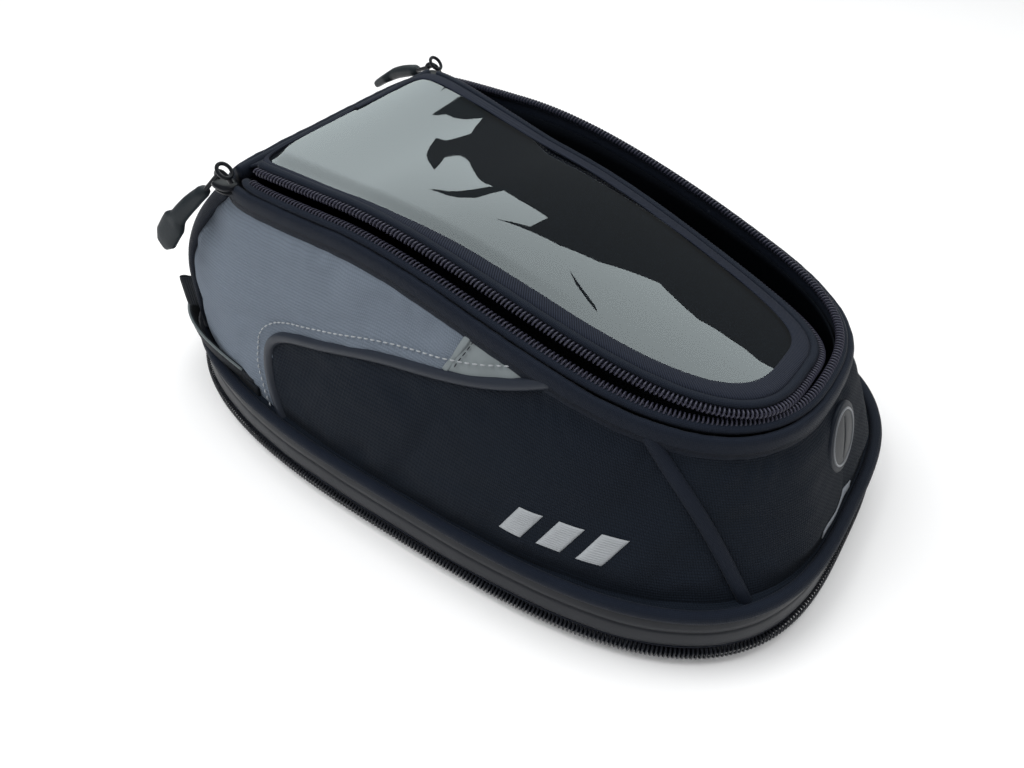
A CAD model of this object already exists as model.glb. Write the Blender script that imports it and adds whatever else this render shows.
import bpy
import math
import numpy as np
from mathutils import Matrix, Vector, noise


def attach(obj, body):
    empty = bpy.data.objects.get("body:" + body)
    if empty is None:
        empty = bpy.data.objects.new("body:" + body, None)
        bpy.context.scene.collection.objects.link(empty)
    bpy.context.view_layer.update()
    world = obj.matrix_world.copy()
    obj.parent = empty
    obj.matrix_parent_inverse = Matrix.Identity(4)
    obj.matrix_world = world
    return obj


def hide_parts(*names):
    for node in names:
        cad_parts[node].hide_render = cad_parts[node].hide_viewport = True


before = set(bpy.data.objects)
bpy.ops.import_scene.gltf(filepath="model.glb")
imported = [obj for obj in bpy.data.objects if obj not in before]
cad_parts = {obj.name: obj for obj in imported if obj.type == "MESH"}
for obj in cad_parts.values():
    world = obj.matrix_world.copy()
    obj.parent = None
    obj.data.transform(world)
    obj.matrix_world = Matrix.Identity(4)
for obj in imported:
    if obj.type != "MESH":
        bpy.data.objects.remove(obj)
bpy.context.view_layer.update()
MM = 0.001

# ------------------------------------------------------------------ shape of the bag, in mm
FOOT = 29.6
RIM = 137.5
TRIM_LINE = [(-60, 24), (-73, 46), (-73, 67), (-45, 80), (-2, 90), (58, 100), (104, 118)]
NOSE_SEAM = [(96, 122), (119, 97), (150, 65), (182, 22)]
PATCH_SEAM = [(46, 128), (37, 108), (27, 86)]
COIL_PITCH = 1.93
CORNER_POWER = 8.0      # squareness of the rear corners
BASE_WIDEST, BASE_NOSE, BASE_TAIL, BASE_HALF = 20.0, 200.0, 190.0, 121.0
BASE_POWER, BASE_TAPER = 3.2, 0.10
LID_WIDEST, LID_FRONT, LID_REAR = -60.0, 223.5, 39.0
LID_RIGHT, LID_LEFT, LID_TAIL_POWER = (73.0, 4.0), (68.0, 2.6), 12.0    # half width, squareness


def mixed(foot, rim, z):
    return foot + (rim - foot) * (z - FOOT) / (RIM - FOOT)


def oval(angle, nose_power, tail_power):
    c, s = np.cos(angle), np.sin(angle)
    power = np.where(c >= 0, nose_power, tail_power)
    rho = (np.abs(c) ** power + np.abs(s) ** power) ** (-1.0 / power)
    return c * rho, s * rho


def wall_sizes(z):
    """Sizes of the wall's outline at a height, each from its value at the foot and at the rim."""
    tail_foot, tail_rim, shoulder = 162.0, 106.0, 70.0
    bulge = np.clip(z - shoulder, 0, None) / (RIM - shoulder)
    tail = tail_foot + (tail_rim - tail_foot) * bulge ** 2
    return (mixed(14.0, -50.0, z), mixed(194.5, 155.5, z), tail, mixed(115.0, 79.0, z),
            mixed(3.1, 2.3, z), mixed(0.24, 0.02, z))


def wall_at(angle, z, off=0.0):
    """Points of the wall surface moved outward by off."""
    angle, z, off = np.broadcast_arrays(np.asarray(angle, float), np.asarray(z, float), off)
    widest, nose, tail, half, power, narrowing = wall_sizes(z)
    u, v = oval(angle, power, CORNER_POWER)
    reach = np.where(u >= 0, nose - widest, tail + widest) + off
    taper = np.where(u >= 0, 1.0, 1 - narrowing * u * u)
    half = half + off
    return np.stack([widest + reach * u, half * v * taper, z], -1)


def base_at(angle, z, off=0.0):
    angle, z, off = np.broadcast_arrays(np.asarray(angle, float), np.asarray(z, float), off)
    u, v = oval(angle, BASE_POWER, BASE_POWER)
    reach = np.where(u >= 0, BASE_NOSE - BASE_WIDEST, BASE_TAIL + BASE_WIDEST) + off
    taper = np.where(u >= 0, 1.0, 1 - BASE_TAPER * u * u)
    return np.stack([BASE_WIDEST + reach * u, (BASE_HALF + off) * v * taper, z], -1)


def rim_level(x):
    share = np.clip((171.0 - x) / 210.0, 0, 1)
    return 97.0 + 40.5 * share * share * (3 - 2 * share)


def rim_height(angle, off=0.0, drop=0.0):
    """Height at which the wall meets the opening plane lowered by drop."""
    angle, off, drop = np.broadcast_arrays(np.asarray(angle, float), off, drop)
    z = np.full(angle.shape, RIM)
    for _ in range(40):
        z = 0.5 * z + 0.5 * (rim_level(wall_at(angle, z, off)[..., 0]) - drop)
    return z


def rim_at(angle, off, lift):
    z = rim_height(angle, off)
    return wall_at(angle, z, off) + np.array([0, 0, 1.0]) * np.asarray(lift)[..., None]


def side_at(x, z, off=0.0):
    """Point of the right wall at a place of the side view."""
    x, z = np.broadcast_arrays(np.asarray(x, float), np.asarray(z, float))
    widest, nose, tail, half, nose_power, narrowing = wall_sizes(z)
    ahead = x >= widest
    u = np.where(ahead, (x - widest) / (nose - widest), (widest - x) / (tail + widest))
    u = np.clip(u, 0, 0.995)
    power = np.where(ahead, nose_power, CORNER_POWER)
    taper = np.where(ahead, 1.0, 1 - narrowing * u * u)
    y = (half + off) * (1 - u ** power) ** (1 / power) * taper
    return np.stack([x, -y, z], -1)


def side_normal(x, z):
    d = 0.6
    along = side_at(x + d, z) - side_at(x - d, z)
    rise = side_at(x, z + d) - side_at(x, z - d)
    return unit(np.cross(along, rise))


def lid_level(x, y):
    along = np.clip((x + 99.0) / 97.0, 0, 1)
    tilt = 20.0 * along * along * (3 - 2 * along)
    across = (y + 73.0) / 146.0
    crown = 3.0 * along * (1 - (y / 73.0) ** 2)
    return rim_level(x) + 7.6 - tilt * across + crown


def lid_reach(u, inset):
    """Length of the lid ahead of or behind its widest station; the hinge end moves in less."""
    return np.where(u >= 0, LID_FRONT - inset, LID_REAR - 0.35 * np.asarray(inset))


def lid_at(angle, inset, lift=0.0):
    angle = np.asarray(angle, float)
    near = np.sin(angle) < 0
    half = np.where(near, LID_RIGHT[0], LID_LEFT[0]) - inset
    u, v = oval(angle, np.where(near, LID_RIGHT[1], LID_LEFT[1]), LID_TAIL_POWER)
    x = LID_WIDEST + lid_reach(u, inset) * u
    y = half * v
    return np.stack([x, y, lid_level(x, y) + lift], -1)


# ------------------------------------------------------------------ numeric helpers

def unit(v):
    return v / np.maximum(np.linalg.norm(v, axis=-1, keepdims=True), 1e-9)


def spline(points, count):
    """Natural cubic spline through a few points, by chord length, evenly resampled."""
    p = np.asarray(points, float)
    t = np.concatenate([[0], np.cumsum(np.linalg.norm(np.diff(p, axis=0), axis=1))])
    n = len(p)
    h = np.diff(t)
    a = np.eye(n)
    b = np.zeros_like(p)
    for i in range(1, n - 1):
        a[i, i - 1], a[i, i], a[i, i + 1] = h[i - 1], 2 * (h[i - 1] + h[i]), h[i]
        b[i] = 6 * ((p[i + 1] - p[i]) / h[i] - (p[i] - p[i - 1]) / h[i - 1])
    m = np.linalg.solve(a, b)
    s = np.linspace(0, t[-1], 40 * n)
    k = np.clip(np.searchsorted(t, s, side="right") - 1, 0, n - 2)
    u, w = (s - t[k])[:, None], (t[k + 1] - s)[:, None]
    hk = h[k][:, None]
    fine = (m[k] * w ** 3 + m[k + 1] * u ** 3) / (6 * hk) \
        + (p[k] / hk - m[k] * hk / 6) * w + (p[k + 1] / hk - m[k + 1] * hk / 6) * u
    return even(fine, count)


def lengths(path):
    return np.concatenate([[0], np.cumsum(np.linalg.norm(np.diff(path, axis=0), axis=1))])


def even(path, count):
    """The same path with evenly spaced points."""
    s = lengths(path)
    t = np.linspace(0, s[-1], count)
    return np.stack([np.interp(t, s, path[:, i]) for i in range(path.shape[1])], -1)


def along_of(path, closed=False):
    if closed:
        return unit(np.roll(path, -1, 0) - np.roll(path, 1, 0))
    return unit(np.gradient(path, axis=0))


def even_angles(curve, count, first=-math.pi, last=math.pi):
    """Angles that space points of a closed curve function evenly."""
    a = np.linspace(first, last, 3000)
    s = lengths(curve(a))
    return np.interp(np.linspace(0, s[-1], count), s, a)


def angle_where(curve, x):
    """Angle past the nose at which an edge curve reaches the length position x."""
    a = np.linspace(0, 0.85 * math.pi, 4000)
    return a[np.argmin(np.abs(curve(a)[:, 0] - x))]


def distance_to(path, points):
    """Distance in a plane from each point to a sampled line."""
    best = np.full(len(points), 1e9)
    for q in path:
        best = np.minimum(best, np.hypot(points[:, 0] - q[0], points[:, 1] - q[1]))
    return best


def rough(points, size, seed):
    """Smooth random value for each point."""
    shift = Vector((seed * 17.3, seed * 5.1, seed * 9.7))
    return np.array([noise.noise(Vector(p) / size + shift) for p in points])


def rough_grid(points, size, seed):
    """Smooth random value for each point of a grid."""
    return rough(points.reshape(-1, 3), size, seed).reshape(points.shape[:2])


def ring_angles(curve, count):
    """Angles that space count points evenly round a closed curve function."""
    return even_angles(curve, count + 1)[:-1]


def ring_lengths(ring):
    return lengths(np.concatenate([ring, ring[:1]]))


# ------------------------------------------------------------------ meshes

def flipped(faces):
    return [face[::-1] for face in faces]


def uv_grid(run, rise):
    """Lengths along and across a grid, one pair for each point."""
    return np.stack(np.broadcast_arrays(run, rise), -1).reshape(-1, 2)


def make(name, verts, faces, material, body, replaces=(), slot=None, uvs=None, smooth=True):
    mesh = bpy.data.meshes.new(name)
    mesh.from_pydata((np.asarray(verts) * MM).tolist(), [], [list(map(int, f)) for f in faces])
    if uvs is not None:
        layer = mesh.uv_layers.new(name="length")
        loops = np.zeros(len(mesh.loops), dtype=np.int32)
        mesh.loops.foreach_get("vertex_index", loops)
        layer.data.foreach_set("uv", np.asarray(uvs, dtype=np.float32)[loops].ravel())
    mesh.polygons.foreach_set("use_smooth", [smooth] * len(mesh.polygons))
    mesh.update()
    thing = bpy.data.objects.new(name, mesh)
    bpy.context.collection.objects.link(thing)
    mesh.materials.append(material)
    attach(thing, body)
    if replaces:
        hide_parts(*replaces)
    return thing


def thicken(thing, depth, outward=False):
    solid = thing.modifiers.new("thickness", "SOLIDIFY")
    solid.thickness = depth * MM
    solid.offset = 1.0 if outward else -1.0
    return thing


def grid_faces(rows, columns, close_rows=False, close_columns=False):
    faces = []
    for i in range(rows if close_rows else rows - 1):
        for j in range(columns if close_columns else columns - 1):
            i2, j2 = (i + 1) % rows, (j + 1) % columns
            faces.append((i * columns + j, i * columns + j2, i2 * columns + j2, i2 * columns + j))
    return faces


def end_caps(rows, columns):
    """Faces closing the first and last row of a grid whose rows are rings."""
    last = (rows - 1) * columns
    return [tuple(range(columns))[::-1], tuple(range(last, last + columns))]


def round_profile(width, height, count=10, power=2.0):
    a = np.linspace(0, 2 * math.pi, count, endpoint=False)
    u, v = oval(a, power, power)
    return np.stack([width / 2 * u, height / 2 * v], -1)


def sweep_data(path, profile, up, closed=False):
    """Closed skin of a profile carried along a path; profile x is sideways, y is along up."""
    along = along_of(path, closed)
    up = np.broadcast_to(np.asarray(up, float), path.shape)
    side = unit(np.cross(along, up))
    top = unit(np.cross(side, along))
    profile = np.asarray(profile, float)
    if profile.ndim == 2:
        profile = np.broadcast_to(profile, (len(path),) + profile.shape)
    verts = path[:, None] + side[:, None] * profile[..., :1] + top[:, None] * profile[..., 1:2]
    count = verts.shape[1]
    faces = grid_faces(len(path), count, close_rows=closed, close_columns=True)
    faces += [] if closed else end_caps(len(path), count)
    uv = uv_grid(lengths(path)[:, None], lengths(profile[0])[None])
    return verts.reshape(-1, 3), flipped(faces), uv


def sweep(name, path, profile, up, material, body, closed=False, **rest):
    verts, faces, uv = sweep_data(path, profile, up, closed)
    return make(name, verts, faces, material, body, uvs=uv, **rest)


def joined(parts):
    """Several (verts, faces, uv) sets as one."""
    verts, faces, uvs, start = [], [], [], 0
    for v, f, uv in parts:
        verts.append(v)
        uvs.append(uv)
        faces += [tuple(i + start for i in face) for face in f]
        start += len(v)
    return np.concatenate(verts), faces, np.concatenate(uvs)


def mirror_set(data):
    verts, faces, uv = data
    return verts * np.array([1, -1, 1]), flipped(faces), uv


def coil_data(path, up, wide, tall, wire):
    """A zip coil: wire wound round the edge of its tape."""
    run = lengths(path)
    count = max(3, int(round(run[-1] / COIL_PITCH)))
    steps = 12
    t = np.linspace(0, run[-1], count * steps + 1)
    centre = np.stack([np.interp(t, run, path[:, i]) for i in range(3)], -1)
    up = np.broadcast_to(np.asarray(up, float), path.shape)
    ups = np.stack([np.interp(t, run, up[:, i]) for i in range(3)], -1)
    along = along_of(centre)
    side = unit(np.cross(along, ups))
    top = unit(np.cross(side, along))
    turn = 2 * math.pi * t / (run[-1] / count)
    c, s = np.cos(turn), np.sin(turn)
    flat = (np.abs(c) ** 3 + np.abs(s) ** 3) ** (-1 / 3.0)
    spin = side * (wide / 2 * c * flat)[:, None] + top * (tall / 2 * s * flat)[:, None]
    return sweep_data(centre + spin, round_profile(wire, wire, 6), unit(spin))


def stitch_data(path, normals, pitch, length, thick, lift=0.0):
    """Row of short rounded stitches lying on a surface."""
    run = lengths(path)
    parts = []
    along_all = along_of(path)
    for s in np.arange(pitch / 2, run[-1] - pitch / 2, pitch):
        spot = np.array([np.interp(s, run, path[:, i]) for i in range(3)])
        normal = unit(np.array([np.interp(s, run, normals[:, i]) for i in range(3)]))
        along = unit(np.array([np.interp(s, run, along_all[:, i]) for i in range(3)]))
        t = np.array([-0.5, -0.38, 0.0, 0.38, 0.5])
        girth = np.array([0.25, 0.8, 1.0, 0.8, 0.25])
        sink = np.array([-0.5, 0.0, 0.2, 0.0, -0.5])
        line = spot + along * (t * length)[:, None] + normal * (lift + sink * thick)[:, None]
        profile = round_profile(thick, thick, 6)[None] * girth[:, None, None]
        parts.append(sweep_data(line, profile, normal))
    return joined(parts)


# ------------------------------------------------------------------ materials

def is_socket(v):
    return isinstance(v, bpy.types.NodeSocket)


class Look:
    """A node material under construction."""

    def __init__(self, name, color, rough, sheen=0.0, metallic=0.0, specular=0.5):
        self.material = bpy.data.materials.new(name)
        self.material.use_nodes = True
        self.tree = self.material.node_tree
        self.bsdf = self.tree.nodes["Principled BSDF"]
        self.color = tuple(color) + (1.0,)
        self.put("Base Color", self.color)
        self.put("Roughness", rough)
        self.put("Metallic", metallic)
        self.put("Specular IOR Level", specular)
        self.put("Sheen Weight", sheen)
        self.put("Sheen Roughness", 0.45)

    def feed(self, slot, value):
        if is_socket(value):
            self.tree.links.new(value, slot)
        else:
            slot.default_value = value

    def put(self, name, value):
        self.feed(self.bsdf.inputs[name], value)

    def math(self, kind, a, b=0.0):
        node = self.tree.nodes.new("ShaderNodeMath")
        node.operation = kind
        for slot, value in zip(node.inputs, (a, b)):
            self.feed(slot, value)
        return node.outputs[0]

    def mix(self, share, a, b):
        """Colour between a and b."""
        node = self.tree.nodes.new("ShaderNodeMix")
        node.data_type = "RGBA"
        for slot, value in ((node.inputs[0], share), (node.inputs[6], a), (node.inputs[7], b)):
            self.feed(slot, value)
        return node.outputs[2]

    def lengths(self):
        """Surface lengths in mm along and across the piece."""
        node = self.tree.nodes.new("ShaderNodeUVMap")
        node.uv_map = "length"
        parts = self.tree.nodes.new("ShaderNodeSeparateXYZ")
        self.tree.links.new(node.outputs[0], parts.inputs[0])
        return parts.outputs[0], parts.outputs[1]

    def noise(self, scale, detail=3.0, rough=0.55):
        place = self.tree.nodes.new("ShaderNodeTexCoord")
        node = self.tree.nodes.new("ShaderNodeTexNoise")
        self.tree.links.new(place.outputs["Object"], node.inputs["Vector"])
        node.inputs["Scale"].default_value = scale
        node.inputs["Detail"].default_value = detail
        node.inputs["Roughness"].default_value = rough
        return node.outputs[0]

    def wave(self, run, pitch):
        """Ridges one pitch apart, 0 to 1."""
        return self.math("ABSOLUTE", self.math("SINE", self.math("MULTIPLY", run, math.pi / pitch)))

    def vary(self, share, low, high):
        """Tints the base colour between two brightness factors."""
        a = tuple(c * low for c in self.color[:3]) + (1.0,)
        b = tuple(c * high for c in self.color[:3]) + (1.0,)
        self.put("Base Color", self.mix(share, a, b))

    def bump(self, height, depth):
        node = self.tree.nodes.new("ShaderNodeBump")
        node.inputs["Distance"].default_value = depth * MM
        node.inputs["Strength"].default_value = 1.0
        self.tree.links.new(height, node.inputs["Height"])
        self.put("Normal", node.outputs[0])


def woven(name, color, pitch, depth, sheen, low=0.55, high=1.25, rough=0.82):
    """Plain weave of thick yarn."""
    look = Look(name, color, rough, sheen, specular=0.14)
    u, v = look.lengths()
    u = look.math("DIVIDE", u, pitch)
    v = look.math("DIVIDE", v, pitch)
    a = look.wave(u, 1.0)
    b = look.wave(v, 1.0)
    square = look.math("ADD", look.math("FLOOR", u), look.math("FLOOR", v))
    over = look.math("FLOORED_MODULO", square, 2.0)
    warp = look.math("MULTIPLY", a, look.math("POWER", b, 0.35))
    weft = look.math("MULTIPLY", b, look.math("POWER", a, 0.35))
    under_part = look.math("MULTIPLY", warp, look.math("SUBTRACT", 1.0, over))
    height = look.math("ADD", under_part, look.math("MULTIPLY", weft, over))
    cloud = look.noise(38.0)
    patchy = look.math("MULTIPLY", cloud, 0.3)
    look.vary(look.math("ADD", look.math("MULTIPLY", height, 0.75), patchy), low, high)
    look.bump(height, depth)
    return look.material


def ribbed(name, color, pitch, depth, sheen, rough=0.75, across=False):
    """Corded or grosgrain tape, ribs across its length."""
    look = Look(name, color, rough, sheen, specular=0.18)
    u, v = look.lengths()
    ridge = look.wave(v if across else u, pitch)
    fine = look.noise(900.0, 2.0)
    height = look.math("ADD", ridge, look.math("MULTIPLY", fine, 0.4))
    look.vary(look.math("MULTIPLY", height, 0.7), 0.5, 1.35)
    look.bump(height, depth)
    return look.material


def plain(name, color, rough, grain=600.0, depth=0.08, spread=0.12, **rest):
    """Moulded or coated surface with a fine grain and slight patchiness."""
    look = Look(name, color, rough, **rest)
    fine = look.noise(grain, 4.0)
    cloud = look.noise(30.0)
    look.vary(cloud, 1 - spread, 1 + spread)
    worn = look.math("MULTIPLY", look.noise(70.0), 0.12)
    look.put("Roughness", look.math("ADD", rough - 0.06, worn))
    look.bump(fine, depth)
    return look.material


def clear_film(name):
    """Clear vinyl: mostly see-through, glossy, slightly grey."""
    look = Look(name, (0.6, 0.63, 0.64), 0.05)
    tree = look.tree
    see = tree.nodes.new("ShaderNodeBsdfTransparent")
    see.inputs[0].default_value = (0.80, 0.84, 0.86, 1)
    shine = tree.nodes.new("ShaderNodeBsdfGlossy")
    shine.inputs["Roughness"].default_value = 0.012
    shine.inputs["Color"].default_value = (0.93, 0.98, 1.0, 1)
    edge = tree.nodes.new("ShaderNodeFresnel")
    edge.inputs["IOR"].default_value = 1.52
    blend = tree.nodes.new("ShaderNodeMixShader")
    share = look.math("ADD", look.math("MULTIPLY", edge.outputs[0], 1.6), 0.02)
    inside = tree.nodes.new("ShaderNodeNewGeometry").outputs["Backfacing"]
    share = look.math("MULTIPLY", share, look.math("SUBTRACT", 1.0, inside))
    tree.links.new(share, blend.inputs[0])
    tree.links.new(see.outputs[0], blend.inputs[1])
    tree.links.new(shine.outputs[0], blend.inputs[2])
    tree.links.new(blend.outputs[0], tree.nodes["Material Output"].inputs["Surface"])
    return look.material


BLACK_WEAVE = woven("black_weave", (0.0085, 0.0125, 0.0200), 1.15, 0.28, 0.02)
GREY_WEAVE = woven("grey_weave", (0.150, 0.180, 0.222), 1.05, 0.26, 0.02, 0.80, 1.16)
REAR_WEAVE = woven("rear_weave", (0.0085, 0.0120, 0.0190), 1.15, 0.28, 0.02)
BINDING = woven("binding", (0.0095, 0.0135, 0.0235), 0.7, 0.12, 0.03, rough=0.6)
LINING = woven("lining", (0.0040, 0.0055, 0.0085), 0.6, 0.08, 0.0)
WEBBING = ribbed("webbing", (0.0120, 0.0145, 0.0190), 1.3, 0.22, 0.03)
GROSGRAIN = ribbed("grosgrain", (0.0135, 0.0175, 0.0300), 1.15, 0.32, 0.03)
ZIP_TAPE = ribbed("zip_tape", (0.0110, 0.0135, 0.0215), 0.8, 0.12, 0.03, across=True)
COIL = plain("coil", (0.038, 0.038, 0.058), 0.34, 900.0, 0.03)
BASE_COIL = plain("base_coil", (0.012, 0.014, 0.020), 0.38, 900.0, 0.03)
SMOOTH = plain("smooth_band", (0.0080, 0.0100, 0.0150), 0.42, 500.0, 0.10, specular=0.3)
TRIM_LOOK = plain("trim", (0.021, 0.026, 0.037), 0.46, 700.0, 0.07, specular=0.35)
LEATHER = plain("leatherette", (0.190, 0.218, 0.228), 0.50, 420.0, 0.16, specular=0.3)
WINDOW_BACK = woven("window_back", (0.0040, 0.0060, 0.0100), 0.8, 0.06, 0.0)
FILM = clear_film("clear_film")
REFLECTIVE = ribbed("reflective", (0.24, 0.26, 0.29), 0.9, 0.05, 0.0, rough=0.4)
PORT_RUBBER = plain("port_rubber", (0.014, 0.017, 0.021), 0.5, 600.0, 0.08, specular=0.3)
PORT_FLANGE = plain("port_flange", (0.010, 0.014, 0.022), 0.5, 600.0, 0.08, specular=0.2)
PORT_RING = plain("port_ring_paint", (0.13, 0.14, 0.155), 0.35, 600.0, 0.02)
ENAMEL = plain("enamel", (0.009, 0.010, 0.013), 0.30, 500.0, 0.03, specular=0.2)
GRIP = plain("grip", (0.017, 0.022, 0.026), 0.40, 500.0, 0.08, specular=0.2)
BOARD = plain("board", (0.05, 0.05, 0.05), 0.6)
ANTI_SLIP = plain("anti_slip", (0.010, 0.010, 0.012), 0.8, 260.0, 0.35)
THREAD = plain("thread", (0.34, 0.36, 0.38), 0.5, 900.0, 0.1)
STRAP_EDGE = plain("strap_edge", (0.10, 0.12, 0.125), 0.35, 500.0, 0.05)
DARK_THREAD = plain("dark_thread", (0.014, 0.016, 0.024), 0.6, 900.0, 0.1)


# ------------------------------------------------------------------ wall panels

ROLL_DROP = 8.5
TRIM = spline(TRIM_LINE, 200)
NOSE_LINE = spline(NOSE_SEAM, 120)
PATCH_LINE = spline(PATCH_SEAM, 60)


def shown(line):
    """The stretch of a side-view line that lies below the rim roll."""
    return line[line[:, 1] < rim_level(line[:, 0]) - ROLL_DROP + 2.0]


def smooth_step(v, a, b):
    t = np.clip((v - a) / (b - a), 0, 1)
    return t * t * (3 - 2 * t)


def puff(points, gap_lines, depth, reach):
    """Panels stand out between seams: 0 at a seam, depth away from it."""
    flat = points[:, [0, 2]]
    near = np.full(len(flat), 1e9)
    for line in gap_lines:
        near = np.minimum(near, distance_to(line[::2], flat))
    return depth * smooth_step(near, 0.0, reach)


def simulated(points, faces, pins):
    """Cloth panels pressed outward from inside and held along their seams, after settling."""
    mesh = bpy.data.meshes.new("wall_cloth")
    mesh.from_pydata([tuple(p) for p in points * MM], [], [tuple(int(i) for i in f) for f in faces])
    thing = bpy.data.objects.new("wall_cloth", mesh)
    bpy.context.collection.objects.link(thing)
    group = thing.vertex_groups.new(name="seams")
    group.add([int(i) for i in pins], 1.0, "REPLACE")
    cloth = thing.modifiers.new("cloth", "CLOTH")
    cloth.settings.vertex_group_mass = "seams"
    cloth.settings.use_pressure = True
    cloth.settings.uniform_pressure_force = 4.0
    cloth.settings.effector_weights.gravity = 0
    cloth.settings.shrink_min = -0.03
    cloth.point_cache.frame_end = CLOTH_FRAMES
    for step in range(1, CLOTH_FRAMES + 1):
        bpy.context.scene.frame_set(step)
    settled = thing.evaluated_get(bpy.context.evaluated_depsgraph_get())
    out = np.empty(len(points) * 3)
    settled.data.vertices.foreach_get("co", out)
    bpy.data.objects.remove(thing)
    bpy.data.meshes.remove(mesh)
    bpy.context.scene.frame_set(1)
    return out.reshape(-1, 3) / MM


def settle_walls():
    """Runs the wall cloth once: places on the right wall and how far each one moved out."""
    columns, rows = 220, 22
    a = ring_angles(lambda t: wall_at(t, 70.0), columns)
    top = rim_height(a, 0.0, ROLL_DROP)
    z = FOOT + (top[None] - FOOT) * np.linspace(0, 1, rows)[:, None]
    around = np.broadcast_to(a, z.shape)
    flat = wall_at(around, z, -0.6).reshape(-1, 3)
    out = unit(wall_at(around, z, 3.0).reshape(-1, 3) - flat)
    folded = np.stack([flat[:, 0], flat[:, 2]], -1)
    gap = np.min([distance_to(line[::2], folded) for line in (TRIM, NOSE_LINE, PATCH_LINE)], 0)
    row = np.repeat(np.arange(rows), columns)
    pins = np.where((gap < 3.2) | (row == 0) | (row == rows - 1))[0]
    rest = simulated(flat, grid_faces(rows, columns, close_columns=True), pins)
    move = ((rest - flat) * out).sum(1)
    move = CLOTH_CAP * np.tanh(move / CLOTH_CAP)
    right = flat[:, 1] < 2.0
    return flat[right], move[right]


def settled_push(points):
    """Movement of the simulated cloth, read at any place of the right wall."""
    if SETTLED is None:
        return puff(points, [TRIM, NOSE_LINE, PATCH_LINE], 1.9, 20.0)
    spots, moves = SETTLED
    push = np.empty(len(points))
    for start in range(0, len(points), 4000):
        block = points[start:start + 4000]
        gap = (block ** 2).sum(1)[:, None] + (spots ** 2).sum(1)[None] - 2 * block @ spots.T
        gap = gap - gap.min(1)[:, None]
        weight = np.exp(-gap / 22.0)
        push[start:start + 4000] = weight @ moves / weight.sum(1)
    return push


def wall_puff(points):
    """Outward movement of the wall fabric: settled cloth, dents and puckers beside the seams."""
    points = np.stack([points[:, 0], -np.abs(points[:, 1]), points[:, 2]], -1)
    full = settled_push(points)
    edge = smooth_step(points[:, 2], FOOT, FOOT + 11) * smooth_step(
        rim_level(points[:, 0]) - points[:, 2], 7.0, 20.0)
    stretch = points * np.array([0.55, 0.55, 1.0])
    soft = 1.1 * rough(points, 44.0, 3) + 0.5 * rough(points, 17.0, 5)
    folds = 0.50 * rough(stretch, 7.5, 9)
    gather = np.exp(-((rim_level(points[:, 0]) - points[:, 2] - 10.0) / 10.0) ** 2)
    ripple = rough(points, 30.0, 11) * 9 + (points[:, 0] + points[:, 1]) * 0.42
    pucker = 0.55 * np.sin(ripple) * gather
    tucked = smooth_step(rim_level(points[:, 0]) - points[:, 2], 9.0, 17.0)
    push = full * edge + (soft + folds) * (0.3 + 0.7 * edge) + pucker
    return np.clip(push * tucked - 0.4, -2.6, 3.2)


def in_nose(points):
    """Past the welt that parts the sides from the nose."""
    z = points[:, 2]
    line_z, line_x = NOSE_LINE[:, 1], NOSE_LINE[:, 0]
    order = np.argsort(line_z)
    return points[:, 0] > np.interp(z, line_z[order], line_x[order])


def above_trim(points):
    """Above and ahead of the trim line that parts the lower panel from the upper."""
    x, z = points[:, 0], points[:, 2]
    low = TRIM[:, 1] < 70
    behind_edge = np.interp(z, TRIM[low, 1], TRIM[low, 0])
    top = TRIM[:, 0] > -72
    upper = TRIM[top & (TRIM[:, 1] > 60)]
    order = np.argsort(upper[:, 0])
    line = np.interp(x, upper[order, 0], upper[order, 1], left=60.0)
    ahead = np.where(z < 66, x > behind_edge, True)
    return ~((x > -73.5) & ahead & (z < line))


def panel_of(centres):
    """Index of the wall panel each face belongs to."""
    x, y, z = centres.T
    rear = (x < -95) & (np.abs(y) < 70 + 17 / 80.0 * (-95 - x))
    nose = in_nose(centres)
    upper = above_trim(centres)
    order = np.argsort(PATCH_LINE[:, 1])
    ahead = x > np.interp(z, PATCH_LINE[order, 1], PATCH_LINE[order, 0])
    kind = np.where(upper, np.where(ahead, 3, 2), 1)
    kind = np.where(nose, 4, kind)
    kind = np.where(rear, 0, kind)
    return np.where((kind > 0) & (kind < 4) & (y > 0), kind + 4, kind)


CLOTH_FRAMES = 20
CLOTH_CAP = 3.0
SETTLED = settle_walls()


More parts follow.
